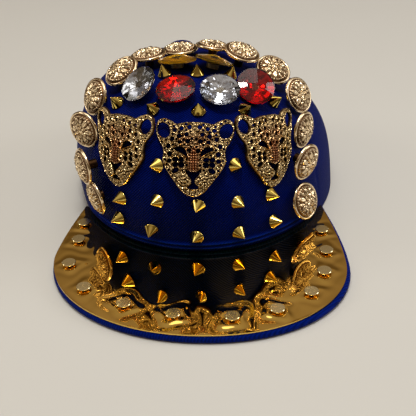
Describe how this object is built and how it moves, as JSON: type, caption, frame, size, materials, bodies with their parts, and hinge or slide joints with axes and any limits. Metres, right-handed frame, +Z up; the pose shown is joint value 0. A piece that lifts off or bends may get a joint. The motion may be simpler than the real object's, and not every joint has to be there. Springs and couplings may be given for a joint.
{
  "type": "snapback cap",
  "caption": "Flat-brimmed cloth cap with a mirror plate on its brim, cone spikes, cast medallions, cut stones and pierced leopard heads on its crown.",
  "frame": {"origin": "middle of the footprint, on the surface that the cap rests on", "axes": "-Y to the front of the brim, +X to the right in the picture, which is the wearer's left, +Z up through the crown"},
  "size_m": [0.1711, 0.2749, 0.1017],
  "materials": {
    "blue_twill": "diagonal-ribbed cotton twill, matte with a soft sheen",
    "gold_mirror": "thin gold mirror sheet, slightly rippled, puckered at the rivets",
    "pale_rivet": "pale silver-gold, polished",
    "brass": "polished yellow brass",
    "rose_gold": "pale rose-gold cast metal, dark in the recesses",
    "antique_gold": "antique gold cast metal, dark in the recesses",
    "clear_crystal": "clear cut stone, foiled back, polished",
    "red_crystal": "red cut stone, foiled back, polished",
    "amber_crystal": "amber cut stone, foiled back, polished",
    "blue_plastic": "moulded plastic, semi-matte"
  },
  "bodies": {
    "root": {"crown": "blue_twill", "brim": "blue_twill", "brim_plate": "gold_mirror", "top_button": "blue_twill", "snap_strap": "blue_plastic", "rivet_01": "pale_rivet", "rivet_02": "pale_rivet", "rivet_03": "pale_rivet", "rivet_04": "pale_rivet", "rivet_05": "pale_rivet", "rivet_06": "pale_rivet", "rivet_07": "pale_rivet", "rivet_08": "pale_rivet", "rivet_09": "pale_rivet", "rivet_10": "pale_rivet", "rivet_11": "pale_rivet", "rivet_12": "pale_rivet", "spike_01": "brass", "spike_02": "brass", "spike_03": "brass", "spike_04": "brass", "spike_05": "brass", "spike_06": "brass", "spike_07": "brass", "spike_08": "brass", "spike_09": "brass", "spike_10": "brass", "spike_11": "brass", "spike_12": "brass", "spike_13": "brass", "spike_14": "brass", "spike_15": "brass", "spike_16": "brass", "spike_17": "brass", "spike_18": "brass", "spike_19": "brass", "spike_20": "brass", "medallion_01": "rose_gold", "medallion_02": "rose_gold", "medallion_03": "rose_gold", "medallion_04": "rose_gold", "medallion_05": "rose_gold", "medallion_06": "rose_gold", "medallion_07": "rose_gold", "medallion_08": "rose_gold", "medallion_09": "rose_gold", "medallion_10": "rose_gold", "medallion_11": "rose_gold", "medallion_12": "rose_gold", "medallion_13": "rose_gold", "medallion_14": "rose_gold", "crystal_clear_left": "clear_crystal", "crystal_clear_right": "clear_crystal", "crystal_red_left": "red_crystal", "crystal_red_right": "red_crystal", "crystal_amber_left": "amber_crystal", "crystal_amber_right": "amber_crystal", "leopard_head_left": "antique_gold", "leopard_head_middle": "antique_gold", "leopard_head_right": "antique_gold"}
  },
  "joints": []
}
